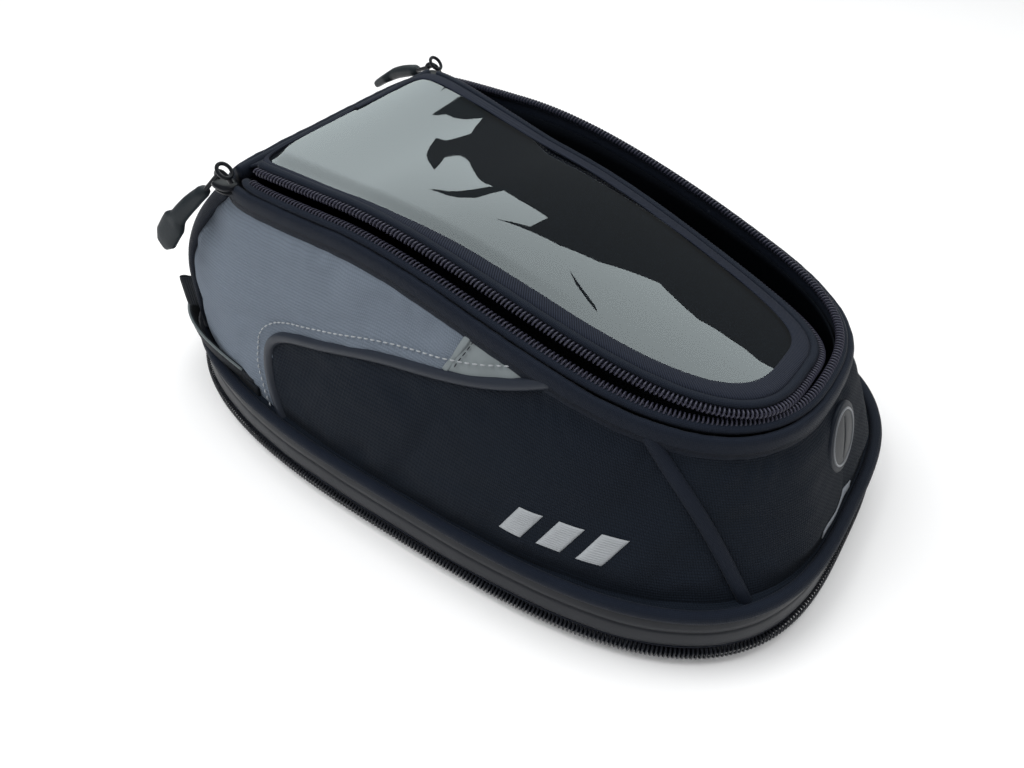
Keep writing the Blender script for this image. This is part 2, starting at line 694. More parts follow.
def make_walls():
    """Wall fabric as one fine grid, cut into its panels."""
    columns, rows = 520, 60
    a = ring_angles(lambda t: wall_at(t, 70.0), columns)
    top = rim_height(a, 0.0, ROLL_DROP)
    z = FOOT + 0.3 + (top[None] - FOOT - 0.3) * np.linspace(0, 1, rows)[:, None]
    around = np.broadcast_to(a, z.shape)
    push = wall_puff(wall_at(around, z).reshape(-1, 3))
    points = wall_at(around.ravel(), z.ravel(), push)
    level = points.reshape(rows, columns, 3)
    run = ring_lengths(level[rows // 2])
    rise = lengths(level[:, columns // 2])
    faces = np.array(grid_faces(rows, columns, close_columns=True))
    kind = panel_of(points[faces].mean(1))
    panels = [("rear_panel", REAR_WEAVE, "black_weave"),
              ("right_lower_panel", BLACK_WEAVE, "black_weave"),
              ("right_upper_panel", GREY_WEAVE, "grey_weave"),
              ("right_patch", LEATHER, "leatherette"),
              ("nose_panel", BLACK_WEAVE, "black_weave"),
              ("left_lower_panel", BLACK_WEAVE, "black_weave"),
              ("left_upper_panel", GREY_WEAVE, "grey_weave"),
              ("left_patch", LEATHER, "leatherette")]
    for index, (name, material, slot) in enumerate(panels):
        chosen = faces[kind == index]
        used, inverse = np.unique(chosen, return_inverse=True)
        inverse = inverse.reshape(chosen.shape)
        row, col = used // columns, used % columns
        wrap = run[col]
        if index == 0:
            wrap = np.where(col > columns // 2, wrap - run[-1], wrap)
        uv = np.stack([wrap, rise[row]], -1)
        fabric = make(name + "_fabric", points[used], inverse, material, "bag",
                      replaces=[name], slot=slot, uvs=uv)
        thicken(fabric, 1.6)


# ------------------------------------------------------------------ seams on the walls

def side_path(line, count, off, first=0.0, last=1.0, on_cloth=False):
    """Side-view line laid on the right wall or its puffed cloth, with its surface directions."""
    s = lengths(line)
    t = np.linspace(first * s[-1], last * s[-1], count)
    flat = np.stack([np.interp(t, s, line[:, i]) for i in range(2)], -1)
    path = side_at(flat[:, 0], flat[:, 1])
    normal = side_normal(flat[:, 0], flat[:, 1])
    push = off + (wall_puff(path) if on_cloth else 0.0)
    return path + normal * np.broadcast_to(push, len(path))[:, None], normal


def both_sides(name, data, material, nodes, slot):
    right = make("right_" + name, data[0], data[1], material, "bag",
                 replaces=["right_" + node for node in nodes], slot=slot, uvs=data[2])
    verts, faces, uv = mirror_set(data)
    left = make("left_" + name, verts, faces, material, "bag",
                replaces=["left_" + node for node in nodes], slot=slot, uvs=uv)
    return right, left


def over_trim(line):
    """The stretch of a shown side-view line that lies above the trim."""
    line = shown(line)
    top = TRIM[TRIM[:, 1] > 80]
    return line[line[:, 1] > np.interp(line[:, 0], top[:, 0], top[:, 1]) + 2.0]


def sideways_line(line, gap):
    """Line parallel to a side-view line, gap above or ahead of it."""
    along = along_of(line)
    return line + np.stack([-along[:, 1], along[:, 0]], -1) * gap


def dome(width, height, base, count=9):
    """Flat-bottomed rounded section."""
    t = np.linspace(-1, 1, count)
    top = np.stack([t * width / 2, height * (1 - np.abs(t) ** 2.6) ** 0.5], -1)
    return np.concatenate([top[::-1], [[-width / 2, -base], [width / 2, -base]]])


def make_side_seams():
    path, normal = side_path(shown(TRIM), 150, -0.6)
    both_sides("trim_strip", sweep_data(path, dome(5.8, 2.9, 2.4), normal), TRIM_LOOK,
               ["trim"], "trim_rubber")
    path, normal = side_path(shown(sideways_line(TRIM, 7.6)), 260, 0.15, 0.01, 0.985, True)
    both_sides("trim_stitches", stitch_data(path, normal, 3.6, 2.3, 0.8, 0.75), THREAD, [],
               "thread")
    path, normal = side_path(shown(NOSE_LINE), 90, -0.2)
    both_sides("nose_piping", sweep_data(path, round_profile(6.4, 4.4, 12, 2.2), normal), BINDING,
               ["nose_welt"], "black_binding")
    path, normal = side_path(over_trim(PATCH_LINE), 50, 0.1)
    both_sides("patch_seam", sweep_data(path, dome(3.2, 0.5, 1.0), normal), LEATHER, [],
               "leatherette")
    path, normal = side_path(over_trim(sideways_line(PATCH_LINE, 3.0)), 60, 0.2, on_cloth=True)
    both_sides("dark_stitches", stitch_data(path, normal, 3.3, 2.4, 0.6, 0.65), DARK_THREAD, [],
               "thread")


def make_corners():
    """Rolled seams where the sides meet the rear panel."""
    z = np.linspace(FOOT + 0.5, RIM - 8.0, 90)
    angle = []
    for height in z:
        a = np.linspace(-math.pi, -0.55 * math.pi, 1200)
        p = wall_at(a, height)
        gap = np.abs(p[:, 1]) - (70 + 17 / 80.0 * (-95 - p[:, 0]))
        angle.append(a[np.argmin(np.abs(gap) + 1000 * (p[:, 0] > -95))])
    angle = np.convolve(np.pad(angle, 4, mode="edge"), np.ones(9) / 9, "valid")
    path = wall_at(angle, z, 1.0)
    out = unit(wall_at(angle, z, 4.0) - wall_at(angle, z, 0.0))
    data = sweep_data(path, round_profile(8.6, 5.4, 12, 2.3), out)
    both_sides("corner_roll", data, BINDING, ["corner_seam"], "black_binding")


def make_rim():
    """Padded roll round the opening."""
    level = ring_angles(lambda t: rim_at(t, 0.0, 0.0 * t), 420)
    path = wall_at(level, rim_height(level, 0.0, 7.2), -0.6)
    swell = 1.0 + 0.025 * rough(path, 9.0, 31) + 0.04 * rough(path, 26.0, 32)
    around = 18
    profile = round_profile(5.6, 12.0, around, 2.5)[None] * swell[:, None, None]
    verts, faces, uv = sweep_data(path, profile, [0, 0, 1.0], closed=True)
    crease = rough(verts * np.array([1.0, 1.0, 0.5]), 5.0, 33)
    base = np.repeat(path, around, axis=0)
    verts = base + (verts - base) * (1 + 0.045 * crease)[:, None]
    make("rim_roll_fabric", verts, faces, BINDING, "bag", replaces=["rim_roll"],
         slot="black_binding", uvs=uv)


def opening_path(inset, lift, count, stop):
    """Open path round the rim, from one end of the zip round the nose to the other."""
    reach = angle_where(lambda t: rim_at(t, inset, 0.0 * t), stop)
    a = even_angles(lambda t: rim_at(t, inset, 0.0 * t), count, -reach, reach)
    path = rim_at(a, inset, lift + 0.0 * a)
    out = unit(rim_at(a, inset + 5.0, lift + 0.0 * a) - path)
    return path, out


def tangent_up(path, out):
    """Direction square to a path and to its outward side, upward."""
    up = unit(np.cross(out, along_of(path)))
    return up * np.sign(up[:, 2:3])


def make_rim_zip():
    path, out = opening_path(-0.9, -0.4, 360, -98.0)
    up = tangent_up(path, out)
    sweep("rim_zip_tape_cloth", path, round_profile(4.4, 3.6, 12, 2.4), up, BINDING, "bag",
          replaces=["rim_zip_tape"], slot="zip_tape")
    path, out = opening_path(-2.6, 1.2, 1500, -92.0)
    up = tangent_up(path, out)
    verts, faces, uv = coil_data(path, up, 3.2, 2.3, 0.85)
    make("rim_zip_teeth", verts, faces, COIL, "bag", replaces=["rim_zip_coil"],
         slot="zip_coil", uvs=uv)


# ------------------------------------------------------------------ base

def ring_loft(name, levels, count, material, nodes, slot, wobble=0.0):
    """Closed band round the base from (offset, height) corners of its section."""
    a = ring_angles(lambda t: base_at(t, 10.0), count)
    rows = [base_at(a, z, off) for off, z in levels]
    points = np.stack(rows, 1)
    if wobble:
        out = unit(base_at(a, 10.0, 5.0) - base_at(a, 10.0, 0.0))
        push = rough_grid(points, 26.0, 41)
        points = points + out[:, None] * (push * wobble)[..., None]
    run = ring_lengths(rows[0])[:-1]
    uv = uv_grid(run[:, None], lengths(np.array(levels))[None])
    faces = grid_faces(count, len(levels), close_rows=True, close_columns=True)
    return make(name, points.reshape(-1, 3), flipped(faces), material, "bag", replaces=nodes,
                slot=slot, uvs=uv)


def arc(centre, radius, first, last, count):
    t = np.linspace(math.radians(first), math.radians(last), count)
    return [(centre[0] + radius * math.cos(v), centre[1] + radius * math.sin(v)) for v in t]


def make_base():
    ring_loft("base_lower_tape", [(-12, 2.0), (-1.2, 2.0), (-0.7, 2.3), (-0.7, 2.8), (-1.2, 3.1),
                                  (-12, 3.1)], 200, ZIP_TAPE, ["base_zip_lower_tape"], "zip_tape")
    ring_loft("base_upper_tape", [(-9, 9.1), (-1.2, 9.1), (-0.5, 9.4), (-0.5, 9.9), (-1.2, 10.3),
                                  (-9, 10.3)], 200, ZIP_TAPE, ["base_zip_upper_tape"], "zip_tape")
    band = [(-4.0, 10.2), (-1.6, 10.2), (-0.7, 10.5), (-0.25, 11.3), (-0.35, 13.0), (-0.5, 15.5),
            (-0.9, 18.0), (-1.25, 19.4), (-1.75, 19.8), (-1.35, 20.2), (-1.7, 22.0), (-2.4, 24.5),
            (-3.4, 26.6), (-6.0, 26.9), (-6.0, 18.0)]
    ring_loft("base_side", band, 300, SMOOTH, ["base_band"], "smooth_band", 0.35)
    a = even_angles(lambda t: base_at(t, 10.0), 2600)
    verts, faces, uv = coil_data(base_at(a, 6.1, -0.4), [0, 0, 1.0], 4.2, 5.2, 0.95)
    make("base_zip_teeth", verts, faces, BASE_COIL, "bag", replaces=["base_zip_coil"],
         slot="zip_coil", uvs=uv)
    a = ring_angles(lambda t: base_at(t, 30.0), 300)
    path = base_at(a, 30.7, -2.2)
    path = path + np.array([0, 0, 0.35]) * rough(path, 30.0, 44)[:, None]
    out = unit(base_at(a, 30.0, 5.0) - base_at(a, 30.0, 0.0))
    sweep("base_piping_cord", path, round_profile(6.0, 6.0, 14), out, BINDING, "bag", closed=True,
          replaces=["base_piping"], slot="black_binding")
    count, across = 300, 14
    b = ring_angles(lambda t: wall_at(t, FOOT), count)
    inner = wall_at(b, FOOT + 1.2, -1.5)
    outer = base_at(np.arctan2(*np.flip(base_match(inner), -1).T), 30.2, -3.6)
    share = np.linspace(0, 1, across)
    points = inner[:, None] * (1 - share[None, :, None]) + outer[:, None] * share[None, :, None]
    width = np.linalg.norm(outer - inner, axis=1)
    sag = -0.10 * width[:, None] * np.sin(math.pi * share)[None] ** 0.8
    sag = np.maximum(sag, -2.2) + 0.9 * rough_grid(points, 14.0, 46) * np.sin(math.pi * share)[None]
    points[..., 2] += sag + 0.6 * np.sin(math.pi * share)[None]
    points[..., 2] = np.maximum(points[..., 2], 28.3)
    uv = uv_grid(ring_lengths(inner)[:-1, None], share[None] * width[:, None])
    ledge = make("base_top_cloth", points.reshape(-1, 3),
                 grid_faces(count, across, close_rows=True), BLACK_WEAVE, "bag",
                 replaces=["base_cover"], slot="black_weave", uvs=uv)
    thicken(ledge, 1.0)


def base_match(points):
    """Plan direction, in the base's own oval, that passes through each point."""
    edge = 2.0      # taken a little inside the outline
    ahead = points[:, 0] >= BASE_WIDEST
    u = (points[:, 0] - BASE_WIDEST) / np.where(ahead, BASE_NOSE - BASE_WIDEST - edge,
                                                BASE_TAIL + BASE_WIDEST - edge)
    v = points[:, 1] / ((BASE_HALF - edge) * np.where(u >= 0, 1.0, 1 - BASE_TAPER * u * u))
    return np.stack([u, v], -1)


# ------------------------------------------------------------------ lining

def make_lining():
    columns, rows = 220, 16
    a = ring_angles(lambda t: wall_at(t, 70.0), columns)
    top = rim_height(a, -3.0, 6.0)
    low = 16.5
    z = low + (top[None] - low) * np.linspace(0, 1, rows)[:, None]
    z_wall = np.maximum(z, FOOT)
    flat = wall_at(np.broadcast_to(a, z.shape), z_wall, -4.6)
    flat[..., 2] = z
    soft = 1.3 * rough_grid(flat, 30.0, 61) - 0.8
    centre = np.array([10.0, 0.0, 0.0])
    away = flat - centre
    away[..., 2] = 0
    flat = flat + unit(away) * np.minimum(soft, 0.2)[..., None]
    uv = uv_grid(ring_lengths(flat[4])[None, :-1], z)
    cloth = make("wall_lining_cloth", flat.reshape(-1, 3),
                 grid_faces(rows, columns, close_columns=True), LINING, "bag",
                 replaces=["wall_lining"], slot="lining", uvs=uv)
    thicken(cloth, 0.8)
    rings, spokes, level = 12, 160, 15.6
    a = ring_angles(lambda t: base_at(t, 15.0), spokes)
    edge = base_at(a, level, -10.0)
    share = np.linspace(0.02, 1, rings)
    middle = np.stack([BASE_WIDEST + 0 * a, 0 * a, level + 0 * a], -1)
    points = middle[None] * (1 - share[:, None, None]) + edge[None] * share[:, None, None]
    points[..., 2] += np.clip(0.5 * rough_grid(points, 34.0, 63), -0.1, 0.6)
    faces = flipped(grid_faces(rings, spokes, close_columns=True))
    faces.append(tuple(range(spokes)))
    floor = make("floor_lining_cloth", points.reshape(-1, 3), faces, LINING, "bag",
                 replaces=["floor_lining"], slot="lining", uvs=points.reshape(-1, 3)[:, :2])
    thicken(floor, 0.8)


# ------------------------------------------------------------------ lid

def lid_edge_path(inset, lift, count, stop):
    """Open path round the lid edge from one end of the zip to the other."""
    reach = angle_where(lambda t: lid_at(t, inset), stop)
    a = even_angles(lambda t: lid_at(t, inset), count, -reach, reach)
    path = lid_at(a, inset, lift)
    out = unit((lid_at(a, inset - 4.0) - lid_at(a, inset)) * np.array([1, 1, 0.0]))
    return path, out


def lid_ring(name, section, count, material, nodes, slot, wave=0.0):
    """Closed band round the lid from (inset, lift) corners of its section."""
    a = ring_angles(lambda t: lid_at(t, 10.0), count)
    rows = []
    for inset, lift in section:
        narrow = squeeze(lid_at(a, inset)[:, 0], np.sin(a) < 0)
        rows.append(lid_at(a, 6.0 + (inset - 6.0) * narrow, lift - 1.7 * (1 - narrow)))
    points = np.stack(rows, 1)
    if wave:
        points[..., 2] += wave * rough_grid(points, 20.0, 52)
    across = np.array([inset for inset, lift in section])
    uv = uv_grid(ring_lengths(points[:, 0])[:-1, None], across[None])
    faces = grid_faces(count, len(section), close_rows=True, close_columns=True)
    return make(name, points.reshape(-1, 3), flipped(faces), material, "lid", replaces=nodes,
                slot=slot, uvs=uv)


def lid_sheet(name, inset, lift, columns, rows, material, nodes, slot, shape=None):
    """Sheet covering the lid inside an inset, from lines laid across it."""
    u = np.clip(np.sin(np.linspace(-math.pi / 2, math.pi / 2, columns)), -0.99995, 0.99995)
    x = LID_WIDEST + lid_reach(u, inset) * u
    span = []
    for side in (LID_RIGHT, LID_LEFT):
        half, power = side
        p = np.where(u >= 0, power, LID_TAIL_POWER)
        drawn = 6.0 + (inset - 6.0) * squeeze(x, side is LID_RIGHT)
        span.append((half - drawn) * (1 - np.abs(u) ** p) ** (1 / p))
    share = np.linspace(0, 1, rows)
    y = -span[0][:, None] + (span[0] + span[1])[:, None] * share[None]
    x = np.broadcast_to(x[:, None], y.shape)
    z = lid_level(x, y) + lift
    if shape is not None:
        z = z + shape(x, y)
    points = np.stack([x, y, z], -1).reshape(-1, 3)
    return make(name, points, flipped(grid_faces(columns, rows)), material, "lid",
                replaces=nodes, slot=slot, uvs=points[:, :2])


def squeeze(x, near):
    """How far the edge tape of the lid narrows on its right side, toward the hinge."""
    return np.where(near, 1 - 0.62 * (1 - smooth_step(x, -50.0, 45.0)), 1.0)


def film_shape(x, y):
    """The film bends down beside its right edge, more so toward the hinge."""
    edge = y[:, :1]
    share = 1 - smooth_step(x, 10.0, 90.0)
    return -1.7 * share * (1 - smooth_step(y - edge, 0.0, 11.0))


def make_lid():
    backing = lid_sheet("lid_backing", 6.4, -0.4, 110, 44, WINDOW_BACK, ["lid_panel"],
                        "window_back")
    thicken(backing, 2.6)
    film = lid_sheet("window_film", 13.2, 1.5, 170, 80, FILM, ["map_window"], "clear_film",
                     film_shape)
    thicken(film, 0.5)
    section = [(6.0, 0.0), (6.3, 1.3), (7.2, 1.9), (9.0, 2.15), (11.5, 2.2), (13.4, 2.15),
               (14.4, 1.9), (14.7, 1.5), (14.0, 0.9), (10.0, -0.2)]
    lid_ring("window_edge_tape", section, 460, GROSGRAIN, ["window_binding"], "grosgrain", 0.35)
    path, out = lid_edge_path(4.4, 0.7, 420, -90.5)
    up = tangent_up(path, out)
    swell = 1 + 0.08 * rough(path, 7.0, 54)[:, None, None]
    sweep("lid_roll", path, round_profile(4.2, 3.6, 12, 2.3)[None] * swell, up, BINDING, "lid",
          replaces=["lid_welt"], slot="black_binding")
    path, out = lid_edge_path(3.8, -1.7, 300, -92.5)
    sweep("lid_tape_cloth", path, round_profile(4.6, 1.5, 10, 3.0), tangent_up(path, out),
          ZIP_TAPE, "lid", replaces=["lid_zip_tape"], slot="zip_tape")
    path, out = lid_edge_path(1.2, -1.0, 1500, -90.5)
    verts, faces, uv = coil_data(path, tangent_up(path, out), 3.4, 2.6, 0.95)
    make("lid_zip_teeth", verts, faces, COIL, "lid", replaces=["lid_zip_coil"],
         slot="zip_coil", uvs=uv)
    y = np.linspace(-66.0, 66.0, 90)
    x = np.linspace(-105.4, -92.5, 12)
    gx, gy = np.meshgrid(x, y, indexing="ij")
    gz = 140.5 + 2.8 * smooth_step(gx, -104.0, -96.5) + 0.25 * rough_grid(
        np.stack([gx, gy, 0 * gx], -1), 12.0, 57)
    points = np.stack([gx, gy, gz], -1).reshape(-1, 3)
    flap = make("hinge_flap", points, flipped(grid_faces(len(x), len(y))), BINDING, "lid",
                replaces=["hinge_strip"], slot="black_binding", uvs=points[:, :2])
    thicken(flap, 1.2)
    path = np.stack([0 * y - 104.6, y * 72.0 / 66.0, 0 * y + 137.9], -1)
    path[:, 2] += 0.25 * rough(path, 12.0, 58)
    sweep("hinge_roll", path, round_profile(4.8, 8.6, 16, 2.6), [0, 0, 1.0], BINDING, "bag",
          replaces=["hinge_binding"], slot="black_binding")


# ------------------------------------------------------------------ port, hardware, straps

def placed(points, spot, turns):
    """Local points turned by rotations about axes, last one first, then moved."""
    for axis, degrees in reversed(turns):
        c, s = math.cos(math.radians(degrees)), math.sin(math.radians(degrees))
        x, y, z = np.moveaxis(points, -1, 0)
        if axis == "y":
            points = np.stack([x * c + z * s, y, -x * s + z * c], -1)
        elif axis == "z":
            points = np.stack([x * c - y * s, x * s + y * c, z], -1)
    return points + np.asarray(spot, float)


PORT_SPOT = wall_at(0.0, 67.5)
PORT_TURNS = [("y", 71.0), ("z", 90.0)]


def lathe(name, section, count, material, nodes, slot):
    """Ring turned about the port's axis from a closed (radius, height) section."""
    t = np.linspace(0, 2 * math.pi, count, endpoint=False)
    r = np.array([p[0] for p in section])
    h = np.array([p[1] for p in section])
    local = np.stack([np.cos(t)[:, None] * r, np.sin(t)[:, None] * r,
                      np.broadcast_to(h, (count, len(r)))], -1)
    points = placed(local.reshape(-1, 3), PORT_SPOT, PORT_TURNS)
    uv = uv_grid(t[:, None] * 15.0, np.arange(len(r))[None] * 1.0)
    faces = grid_faces(count, len(r), close_rows=True, close_columns=True)
    return make(name, points, flipped(faces), material, "bag", replaces=nodes, slot=slot, uvs=uv)


def make_port():
    flange = [(12.3, -4.5), (13.6, -4.5), (13.7, -0.6), (15.9, -0.6)] + arc(
        (15.2, 1.1), 1.3, -60, 100, 8) + [(14.6, 2.6), (13.9, 2.6), (13.2, 2.1), (12.4, 2.0)]
    lathe("port_grommet", flange, 96, PORT_FLANGE, ["port_ring"], "port_rubber")
    bead = arc((13.1, 2.4), 0.6, 0, 330, 12)
    lathe("port_bead", bead, 96, PORT_RING, [], "port_metal")
    radius_out, slit_end = 12.6, 0.82
    lean = math.radians(75)
    along = np.array([math.cos(lean), math.sin(lean)])
    across = np.array([-math.sin(lean), math.cos(lean)])
    parts = []
    for side in (1, -1):
        s = np.linspace(-1, 1, 40)
        w = np.linspace(0, 1, 14)
        chord = np.sqrt(np.clip(1 - s * s, 0, 1)) * radius_out
        lens = 0.55 * np.clip(1 - (s / slit_end) ** 2, 0, 1)
        off = lens[:, None] + (chord - lens)[:, None] * w[None]
        plan = s[:, None, None] * radius_out * along + side * off[..., None] * across
        radius = np.hypot(plan[..., 0], plan[..., 1])
        height = 1.2 + 0.8 * (1 - (radius / radius_out) ** 2) - 0.7 * np.exp(-off / 0.7) * (
            np.abs(s) < slit_end)[:, None]
        local = np.stack([plan[..., 0], plan[..., 1], height], -1).reshape(-1, 3)
        faces = grid_faces(len(s), len(w))
        faces = faces if side > 0 else flipped(faces)
        parts.append((local, faces, local[:, :2]))
    verts, faces, uv = joined(parts)
    disc = make("port_slit_disc", placed(verts, PORT_SPOT, PORT_TURNS), faces, PORT_RUBBER, "bag",
                replaces=["port_disc"], slot="port_rubber", uvs=uv)
    thicken(disc, 1.3)


def soften(node, material, width):
    """Rounds the edges of a hard CAD piece and gives it a finish."""
    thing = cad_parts[node]
    thing.data.materials.clear()
    thing.data.materials.append(material)
    weld = thing.modifiers.new("weld", "WELD")
    weld.merge_threshold = 0.00001
    bevel = thing.modifiers.new("soft_edge", "BEVEL")
    bevel.width = width * MM
    bevel.segments = 3
    bevel.limit_method = "ANGLE"
    bevel.angle_limit = math.radians(25)
    bevel.use_clamp_overlap = True
    thing.modifiers.new("normals", "WEIGHTED_NORMAL")
    thing.visible_glossy = False
    thing.data.polygons.foreach_set("use_smooth", [True] * len(thing.data.polygons))


def grip_data(twist):
    """Rubber grip along -X: a round shaft that flares into a flat six-sided head."""
    keys = np.array([  # place along the grip, width, thickness, squareness
        (-11.8, 3.4, 3.0, 2.0), (-12.6, 6.0, 5.2, 2.0), (-14.5, 7.4, 6.4, 2.1),
        (-26.0, 8.2, 6.8, 2.1), (-36.5, 8.8, 6.6, 2.2), (-38.0, 9.4, 6.5, 2.3),
        (-38.6, 10.2, 6.4, 2.4), (-41.2, 13.0, 5.8, 3.0), (-42.2, 13.6, 5.6, 3.2),
        (-53.6, 13.6, 5.0, 3.4), (-54.6, 13.0, 4.9, 3.4), (-58.2, 8.6, 4.2, 3.2),
        (-59.0, 6.6, 2.8, 2.6), (-59.3, 3.0, 1.2, 2.0)])
    place = np.concatenate([np.linspace(a, b, 6)[:-1] for a, b in zip(keys[:, 0], keys[1:, 0])])
    place = np.append(place, keys[-1, 0])
    wide, thick, power = [np.interp(-place, -keys[:, 0], keys[:, i]) for i in (1, 2, 3)]
    around = 24
    points = np.array([np.column_stack([np.full(around, x), round_profile(w, h, around, p)])
                       for x, w, h, p in zip(place, wide, thick, power)])
    share = np.clip((-place - 12.0) / 14.0, 0, 1)
    turn = np.radians(twist) * smooth_step(share, 0, 1)
    c, s = np.cos(turn)[:, None], np.sin(turn)[:, None]
    y, z = points[..., 1].copy(), points[..., 2].copy()
    points[..., 1], points[..., 2] = y * c - z * s, y * s + z * c
    sag = np.clip((-place - 12.0) / 47.0, 0, 1)
    points[..., 2] += (2.2 * np.sin(math.pi * sag) - 0.6 * sag)[:, None]
    faces = grid_faces(len(place), around, close_columns=True) + end_caps(len(place), around)
    uv = uv_grid(-place[:, None], np.arange(around)[None] * 1.0)
    return points.reshape(-1, 3), flipped(faces), uv


SLIDER_SHIFT = np.array([-3.4, 0.6, -4.2])


def lump(centre, size):
    """Rounded block about a centre."""
    across, rows, power = 24, 15, 3.0
    t = np.linspace(-1.42, 1.42, rows)
    ring = np.linspace(0, 2 * math.pi, across, endpoint=False)
    u, v = oval(ring, power, power)
    flat = np.sign(np.cos(t)) * np.abs(np.cos(t)) ** 0.6
    rise = np.sign(np.sin(t)) * np.abs(np.sin(t)) ** 0.8
    points = np.stack(np.broadcast_arrays(flat[:, None] * u, flat[:, None] * v, rise[:, None]), -1)
    points = points.reshape(-1, 3) * (np.asarray(size) / 2) + np.asarray(centre)
    faces = grid_faces(rows, across, close_columns=True) + end_caps(rows, across)
    return points, faces, points[:, :2]


def hoop(centre, facing, radius, wire):
    """Round wire ring that faces a direction."""
    facing = unit(np.asarray(facing, float))
    side = unit(np.cross([0, 0, 1.0], facing))
    rise = np.cross(facing, side)
    t = np.linspace(0, 2 * math.pi, 40, endpoint=False)[:, None]
    path = np.asarray(centre) + radius * (np.cos(t) * side + 1.12 * np.sin(t) * rise)
    return sweep_data(path, round_profile(wire, wire, 12), facing, closed=True)


def make_grips():
    link_path = np.stack([np.linspace(1.0, -13.5, 16), np.zeros(16), np.zeros(16)], -1)
    link = sweep_data(link_path, round_profile(3.0, 2.2, 12), [0, 0, 1.0])
    for side, name, yaw, droop, twist in ((-1, "right", 26.0, 46.0, 62.0),
                                          (1, "left", -12.0, 25.0, 12.0)):
        local, faces, uv = grip_data(twist)
        spot = np.array([-106.5, side * 78.5, 144.2]) + SLIDER_SHIFT * [1, side, 1]
        turns = [("z", yaw), ("y", -droop)]
        make(name + "_grip", placed(local, spot, turns), faces, GRIP, name + "_pull",
             replaces=[name + "_pull_grip"], slot="grip_rubber", uvs=uv).visible_glossy = False
        make(name + "_link", placed(link[0], spot, turns), link[1], ENAMEL, name + "_pull",
             replaces=[name + "_pull_link"], slot="slider_metal",
             uvs=link[2]).visible_glossy = False
        arch = spline([(-5.0, 1.4), (-4.4, 4.2), (-1.6, 5.8), (2.2, 5.2), (5.0, 1.8)], 24)
        arch = np.stack([arch[:, 0], 0 * arch[:, 0], arch[:, 1]], -1)
        parts = [lump((0, 0, 0), (13.0, 10.0, 3.6)), lump((0, 0, -2.6), (11.0, 8.0, 2.6)),
                 sweep_data(arch, round_profile(3.4, 2.0, 12), [0, 1.0, 0]),
                 hoop((2.0, 0, 7.6), (0.70, 0.03, 0.70), 3.4, 1.9)]
        verts, slider_faces, slider_uv = joined(parts)
        base = np.array([-103.0, side * 78.5, 140.0]) + SLIDER_SHIFT * [1, side, 1]
        make(name + "_slider_case", verts + base, slider_faces, ENAMEL, name + "_slider_body",
             replaces=[name + "_slider"], slot="slider_metal", uvs=slider_uv).visible_glossy = False


def make_hardware():
    make_grips()
    for node in ("base_slider", "base_pull"):
        soften(node, ENAMEL, 0.4)
    for node, material in (("base_pad", ANTI_SLIP), ("base_board", BOARD)):
        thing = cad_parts[node]
        thing.data.materials.clear()
        thing.data.materials.append(material)


def band_profile(width, thick, count=16, power=5.0):
    """Flat webbing section standing up: thickness sideways, width upward."""
    t = np.linspace(0, 2 * math.pi, count, endpoint=False)
    u, v = oval(t, power, power)
    return np.stack([thick / 2 * u, width / 2 * v], -1)


def make_straps():
    a = np.linspace(0, 2 * math.pi, 4000)
    foot = wall_at(a, 40.8)
    ahead = a < math.pi
    first = a[ahead][np.argmin(np.abs(foot[ahead][:, 0] + 88.0))]
    t = even_angles(lambda v: wall_at(v, 40.8), 200, first, 2 * math.pi - first)
    share = (t - first) / (2 * math.pi - 2 * first)
    root = smooth_step(np.minimum(share, 1 - share), 0.0, 0.09)
    bow = 0.6 + 3.4 * root + 14.8 * np.clip(np.sin(math.pi * share), 0, 1) ** 1.6
    path = wall_at(t, 40.8, bow)
    out = unit(wall_at(t, 40.8, bow + 4) - path)
    lean = 0.30 * np.sin(math.pi * share) ** 0.5
    up = unit(np.array([0, 0, 1.0]) + out * lean[:, None])
    path[:, 2] += 0.3 * rough(path, 30.0, 81) - 1.0 - 5.5 * (1 - root)
    sweep("carry_strap", path, band_profile(10.6, 2.6, 18, 3.2), up, WEBBING, "handle",
          replaces=["carry_handle"], slot="webbing")
    edge = path + up * 4.9 + out * 0.5
    sweep("carry_strap_edge", edge[6:-6], round_profile(1.5, 1.3, 8), up[6:-6], STRAP_EDGE, "handle",
          slot="webbing")
    gx, gz = np.meshgrid(np.linspace(-103.0, -84.0, 16), np.linspace(30.6, 36.2, 8),
                         indexing="ij")
    flat = side_at(gx.ravel(), gz.ravel())
    normal = side_normal(gx.ravel(), gz.ravel())
    push = np.maximum(wall_puff(flat), -0.4) + 0.3
    points = flat + normal * push[:, None]
    data = (points, flipped(grid_faces(*gx.shape)), uv_grid(gx, gz))
    for thing in both_sides("handle_tab", data, WEBBING, ["handle_anchor"], "webbing"):
        thicken(thing, 1.2, outward=True)
    for side, name in ((-1, "right"), (1, "left")):
        spot = wall_at(side * 0.75 * math.pi, 57.5, 3.2)
        fold = spline([(2.0, 0.9), (-2.5, 1.0), (-5.6, 0.9), (-6.5, 0.0), (-5.6, -0.9),
                       (-2.5, -1.0), (2.0, -0.9)], 40)
        local = np.stack([fold[:, 0], fold[:, 1], 0 * fold[:, 0]], -1)
        path = placed(local, spot, [("z", -side * 25.0)])
        sweep(name + "_loop_strap", path, band_profile(19.0, 1.4, 18, 5.0), [0, 0, 1.0], WEBBING,
              "bag", replaces=[name + "_corner_loop"], slot="webbing")


def wall_patch(angles_, z, lift):
    """Points lying on the puffed cloth of the wall."""
    flat = wall_at(angles_, z)
    out = unit(wall_at(angles_, z, 4.0) - flat)
    return flat + out * (wall_puff(flat) + lift)[:, None]


